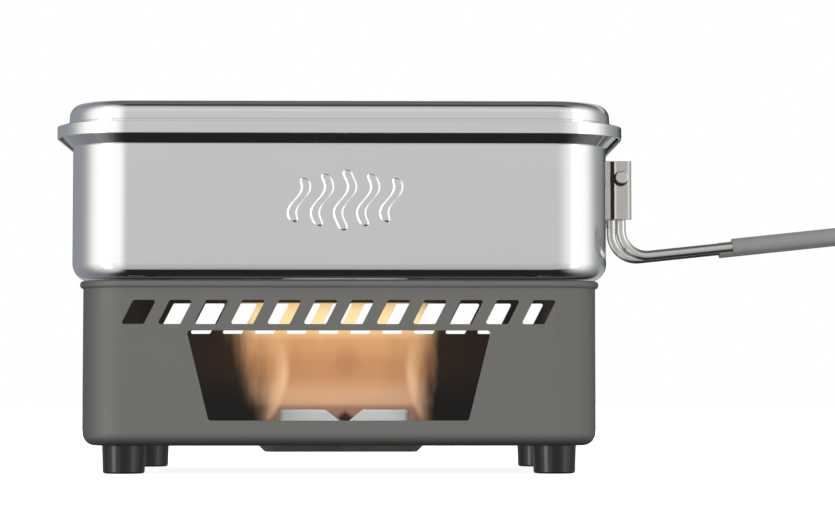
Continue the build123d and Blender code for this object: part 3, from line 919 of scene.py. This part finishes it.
def make_pot():
    """The pot's drawn shell, with its embossed front."""
    low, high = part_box("pot_body")
    half_x = high.x - POT_RIM_OVERHANG
    half_y = high.y - POT_RIM_OVERHANG
    motif_low = MOTIF_Z - MOTIF_HALF_HEIGHT - MOTIF_EDGE
    motif_high = MOTIF_Z + MOTIF_HALF_HEIGHT + MOTIF_EDGE
    reach = MOTIF_PITCH * MOTIF_RIBS / 2 + MOTIF_WAVE + MOTIF_LEAN * MOTIF_HALF_HEIGHT
    edge_z = low.z + POT_EDGE
    profile = arc(-POT_EDGE, edge_z, POT_EDGE, -90, 0, steps=24)
    for height in steps_between(motif_low, motif_high, MOTIF_STEP):
        profile.append((0.0, height, 1.0, 0.0))
    ease = tan(radians(POT_FLARE / 2))
    bend_z = POT_FLARE_START - POT_FLARE_BEND * ease
    profile += arc(POT_FLARE_BEND, bend_z, POT_FLARE_BEND, 180, 180 - POT_FLARE, steps=12, facing=-1)
    rim_z = POT_FLARE_START + POT_RIM_OVERHANG / tan(radians(POT_FLARE)) + POT_RIM_BEND * ease
    profile += arc(POT_RIM_OVERHANG - POT_RIM_BEND, rim_z, POT_RIM_BEND, -POT_FLARE, 0, steps=8)
    profile += arc(POT_RIM_OVERHANG - POT_RIM_ROUND, high.z - POT_RIM_ROUND, POT_RIM_ROUND, 0, 90, steps=10)
    profile += arc(POT_LIP_ROUND - POT_SHEET, high.z - POT_LIP_ROUND, POT_LIP_ROUND, 90, 180, steps=10)
    profile += arc(-POT_EDGE, edge_z, POT_EDGE - POT_SHEET, 0, -90, steps=20, facing=-1)
    pot = shell(
        "pot_shell",
        half_x,
        half_y,
        POT_CORNER,
        profile,
        dense=steps_between(MOTIF_X - reach, MOTIF_X + reach, MOTIF_STEP),
        relief=motif_relief,
    )
    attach(pot, "pot")
    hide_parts("pot_body")
    return pot


def make_lid():
    """The lid's shell: dome, sloping flange, shoulder and skirt."""
    low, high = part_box("lid")
    half_x = high.x - LID_FLANGE
    half_y = high.y - LID_FLANGE
    slope = LID_FLANGE_SLOPE
    edge_z = high.z - LID_EDGE
    profile = arc(-LID_EDGE, edge_z, LID_EDGE, 90, 0, steps=24)
    neck_z = high.z - LID_NECK_HEIGHT
    neck_out = LID_DRAFT + LID_NECK
    profile += arc(neck_out, neck_z, LID_NECK, 180, 270 - slope, steps=8, facing=-1)
    flange_out, flange_z = profile[-1][:2]
    shoulder_out = LID_FLANGE - LID_SHOULDER
    run = shoulder_out + LID_SHOULDER * sin(radians(slope)) - flange_out
    shoulder_z = flange_z - run * tan(radians(slope)) - LID_SHOULDER * cos(radians(slope))
    profile += arc(shoulder_out, shoulder_z, LID_SHOULDER, 90 - slope, 0, steps=8)
    lip = LID_SHEET / 2
    profile += arc(LID_FLANGE - lip, low.z + lip, lip, 0, -180, steps=16)
    inset = LID_SHEET + LID_INNER_SHOULDER - LID_SHOULDER
    inner_out = shoulder_out - inset
    profile += arc(inner_out, shoulder_z - inset, LID_INNER_SHOULDER, 0, 90 - slope, steps=4, facing=-1)
    profile += arc(neck_out, neck_z, LID_NECK + LID_SHEET, 270 - slope, 180, steps=8)
    profile += arc(-LID_EDGE, edge_z, LID_EDGE - LID_SHEET, 0, 90, steps=20, facing=-1)
    profile.reverse()
    lid = shell("lid_shell", half_x, half_y, LID_CORNER, profile)
    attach(lid, "lid")
    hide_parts("lid")
    return lid


# ---------------------------------------------------------------- pieces carried over from the CAD
def softened(node, name, width, body):
    """A copy of a CAD node whose sharp edges are rounded by a small width."""
    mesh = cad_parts[node].data.copy()
    mesh.name = name
    work = bmesh.new()
    work.from_mesh(mesh)
    bmesh.ops.remove_doubles(work, verts=work.verts, dist=WELD_GAP)
    bmesh.ops.dissolve_limit(work, angle_limit=FLAT_ANGLE, verts=work.verts, edges=work.edges)
    edges = [edge for edge in work.edges if edge.is_manifold and edge.calc_face_angle() > SHARP_ANGLE]
    bmesh.ops.bevel(
        work,
        geom=edges,
        offset=width,
        offset_type="OFFSET",
        segments=3,
        profile=0.5,
        affect="EDGES",
        clamp_overlap=False,
    )
    work.to_mesh(mesh)
    work.free()
    mesh.shade_smooth()
    made = bpy.data.objects.new(name, mesh)
    bpy.context.scene.collection.objects.link(made)
    weigh = made.modifiers.new("even_shading", "WEIGHTED_NORMAL")
    weigh.weight = 50
    weigh.keep_sharp = True
    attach(made, body)
    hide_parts(node)
    return made


def paint(piece, finish):
    """Gives a piece one finish."""
    piece.data.materials.clear()
    piece.data.materials.append(materials[finish])


make_camera()
studio_world()
make_floor()
light_scene()

materials = {name: finish_of(name, build) for name, build in FINISHES.items()}
paint(make_pot(), "polished_steel")
paint(make_lid(), "polished_steel")
for node, name, width, body, finish in SOFT_COPIES:
    soft = softened(node, name, width, body)
    paint(soft, finish)
    # The stove stays out of mirror reflections, so that the pot's lower edge is dark.
    soft.visible_glossy = body != "stove"
for node, finish in NODE_FINISHES.items():
    paint(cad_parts[node], finish)

bpy.context.scene.view_settings.view_transform = "Standard"
